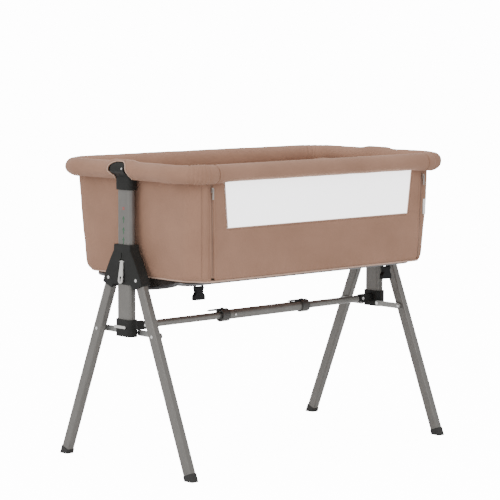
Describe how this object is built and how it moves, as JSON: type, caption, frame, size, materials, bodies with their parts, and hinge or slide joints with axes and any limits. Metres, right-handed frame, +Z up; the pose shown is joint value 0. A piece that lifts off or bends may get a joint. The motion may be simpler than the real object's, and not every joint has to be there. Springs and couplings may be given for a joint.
{
  "type": "bedside sleeper crib",
  "caption": "Bedside crib: a padded fabric basket with a drop side and mesh window on folding A-frame legs with height-adjustable posts and a telescopic crossbar.",
  "frame": {"origin": "on the floor under the middle of the crib", "axes": "+X along the crib's length, +Z up, the folding side with the mesh window faces -Y"},
  "size_m": [0.9052, 0.4942, 0.7214],
  "materials": {
    "frame_grey": "satin powder coat",
    "plastic_charcoal": "matt moulded",
    "plastic_black": "matt moulded",
    "bright_steel": "bright",
    "clip_metal": "satin",
    "link_steel": "satin powder coat",
    "bar_grey": "satin powder coat",
    "tube_dark": "glossy dark enamel",
    "ring_plastic": "matt moulded",
    "tube_steel": "plain drawn tube",
    "foot_rubber": "moulded rubber",
    "mocha_fabric": "padded woven cover",
    "window_mesh": "fine warp-knit mesh",
    "zip_tape": "woven tape",
    "mattress_fabric": "quilted cotton cover",
    "board": "pressed board"
  },
  "bodies": {
    "stand": {"lower_post_left": "frame_grey", "lower_post_right": "frame_grey", "hub_outer_shell_left": "plastic_charcoal", "hub_outer_shell_right": "plastic_charcoal", "hub_inner_shell_left": "plastic_charcoal", "hub_inner_shell_right": "plastic_charcoal", "leg_pivot_rivets": "bright_steel", "post_end_plugs": "plastic_charcoal", "lever_hinge_pins": "bright_steel"},
    "front_legs": {"leg_front_left": "frame_grey", "leg_front_right": "frame_grey", "front_feet": "foot_rubber"},
    "back_legs": {"leg_back_left": "frame_grey", "leg_back_right": "frame_grey", "back_feet": "foot_rubber"},
    "front_links": {"link_front_left": "link_steel", "link_front_right": "link_steel", "front_link_rivets": "bright_steel"},
    "back_links": {"link_back_left": "link_steel", "link_back_right": "link_steel", "back_link_rivets": "bright_steel"},
    "carriage": {"collar_left": "plastic_charcoal", "collar_right": "plastic_charcoal", "crossbar_tube_left": "bar_grey", "crossbar_tube_right": "bar_grey", "crossbar_end_plugs": "plastic_black", "crossbar_rivets": "bright_steel"},
    "clip_left": {"collar_clip_left": "clip_metal"},
    "clip_right": {"collar_clip_right": "clip_metal"},
    "sleeve": {"crossbar_sleeve": "bar_grey", "clamp_rings": "ring_plastic"},
    "clamp_left": {"clamp_lever_left": "plastic_black"},
    "clamp_right": {"clamp_lever_right": "plastic_black"},
    "button": {"snap_button": "bright_steel"},
    "lever_left": {"height_lever_left": "clip_metal"},
    "lever_right": {"height_lever_right": "clip_metal"},
    "pin_left": {"lock_pin_left": "bright_steel"},
    "pin_right": {"lock_pin_right": "bright_steel"},
    "basket": {"upper_post_left": "frame_grey", "upper_post_right": "frame_grey", "rail_bracket_left": "plastic_charcoal", "rail_bracket_right": "plastic_charcoal", "bracket_rivets": "bright_steel", "rail_tube": "tube_steel", "rail_cover": "mocha_fabric", "rail_locks": "plastic_black", "basket_cover": "mocha_fabric", "bottom_frame": "tube_dark", "base_board": "board", "zip_tapes": "zip_tape", "buckle_straps": "zip_tape"},
    "drop_side": {"drop_rail_tube": "tube_steel", "drop_rail_cover": "mocha_fabric", "drop_panel": "mocha_fabric", "mesh_window": "window_mesh"},
    "slider_left": {"zip_slider_left": "clip_metal"},
    "slider_right": {"zip_slider_right": "clip_metal"},
    "buckle_left": {"buckle_left": "plastic_black"},
    "buckle_right": {"buckle_right": "plastic_black"},
    "mattress": {"mattress": "mattress_fabric"}
  },
  "joints": [
    {"name": "stand_fold", "type": "hinge", "parent": "stand", "child": "front_legs", "pos_m": [0, -0.049, 0.444], "axis": [1, 0, 0], "range_deg": [0, 18]},
    {"name": "back_legs_fold", "type": "hinge", "parent": "stand", "child": "back_legs", "pos_m": [0, 0.049, 0.444], "axis": [1, 0, 0], "range_deg": [-18.2, 0]},
    {"name": "front_links_turn", "type": "hinge", "parent": "front_legs", "child": "front_links", "pos_m": [0, -0.09909, 0.318], "axis": [1, 0, 0], "range_deg": [0, 47]},
    {"name": "back_links_turn", "type": "hinge", "parent": "back_legs", "child": "back_links", "pos_m": [0, 0.09909, 0.318], "axis": [1, 0, 0], "range_deg": [-47, 0]},
    {"name": "carriage_rise", "type": "slide", "parent": "stand", "child": "carriage", "axis": [0, 0, 1], "range_m": [0, 0.0562]},
    {"name": "clip_left_press", "type": "slide", "parent": "carriage", "child": "clip_left", "axis": [0, -1, 0], "range_m": [0, 0.006], "stiffness_N_per_m": 400, "springref_m": -0.002},
    {"name": "clip_right_press", "type": "slide", "parent": "carriage", "child": "clip_right", "axis": [0, -1, 0], "range_m": [0, 0.006], "stiffness_N_per_m": 400, "springref_m": -0.002},
    {"name": "crossbar_length", "type": "slide", "parent": "carriage", "child": "sleeve", "axis": [1, 0, 0], "range_m": [-0.025, 0.025]},
    {"name": "clamp_left_flip", "type": "hinge", "parent": "sleeve", "child": "clamp_left", "pos_m": [-0.112, 0, 0.3456], "axis": [0, 1, 0], "range_deg": [0, 90]},
    {"name": "clamp_right_flip", "type": "hinge", "parent": "sleeve", "child": "clamp_right", "pos_m": [0.16, 0, 0.3456], "axis": [0, 1, 0], "range_deg": [0, 90]},
    {"name": "button_press", "type": "slide", "parent": "sleeve", "child": "button", "axis": [0, 1, 0], "range_m": [0, 0.0022], "stiffness_N_per_m": 300, "springref_m": -0.002},
    {"name": "lever_left_pull", "type": "hinge", "parent": "stand", "child": "lever_left", "pos_m": [-0.4342, 0, 0.485], "axis": [0, 1, 0], "range_deg": [0, 34], "stiffness_Nm_per_rad": 0.12, "springref_deg": -11.46},
    {"name": "lever_right_pull", "type": "hinge", "parent": "stand", "child": "lever_right", "pos_m": [0.4342, 0, 0.485], "axis": [0, -1, 0], "range_deg": [0, 34], "stiffness_Nm_per_rad": 0.12, "springref_deg": -11.46},
    {"name": "pin_left_draw", "type": "slide", "parent": "stand", "child": "pin_left", "axis": [-1, 0, 0], "range_m": [0, 0.0033]},
    {"name": "pin_right_draw", "type": "slide", "parent": "stand", "child": "pin_right", "axis": [1, 0, 0], "range_m": [0, 0.0033]},
    {"name": "basket_height", "type": "slide", "parent": "stand", "child": "basket", "axis": [0, 0, 1], "range_m": [-0.052, 0.052]},
    {"name": "drop_side_fold", "type": "hinge", "parent": "basket", "child": "drop_side", "pos_m": [0, -0.219, 0.4495], "axis": [1, 0, 0], "range_deg": [0, 175]},
    {"name": "zip_left_run", "type": "slide", "parent": "basket", "child": "slider_left", "axis": [0.0363, 0.0199, -0.9991], "range_m": [0, 0.195]},
    {"name": "zip_right_run", "type": "slide", "parent": "basket", "child": "slider_right", "axis": [-0.0363, 0.0199, -0.9991], "range_m": [0, 0.195]},
    {"name": "buckle_left_swing", "type": "hinge", "parent": "basket", "child": "buckle_left", "pos_m": [-0.317, -0.135, 0.436], "axis": [1, 0, 0], "range_deg": [-60, 60]},
    {"name": "buckle_right_swing", "type": "hinge", "parent": "basket", "child": "buckle_right", "pos_m": [0.317, -0.135, 0.436], "axis": [1, 0, 0], "range_deg": [-60, 60]},
    {"name": "mattress_lift", "type": "slide", "parent": "basket", "child": "mattress", "axis": [0, 0, 1], "range_m": [0, 0.16]}
  ],
  "couplings": [
    {"joint": "back_legs_fold", "follows": "stand_fold", "ratio": -1},
    {"joint": "front_links_turn", "follows": "stand_fold", "ratio": 2.6},
    {"joint": "back_links_turn", "follows": "stand_fold", "ratio": -2.6},
    {"joint": "carriage_rise", "follows": "stand_fold", "m_per_rad": 0.17794},
    {"joint": "pin_left_draw", "follows": "lever_left_pull", "m_per_rad": 0.005393},
    {"joint": "pin_right_draw", "follows": "lever_right_pull", "m_per_rad": 0.005393}
  ]
}
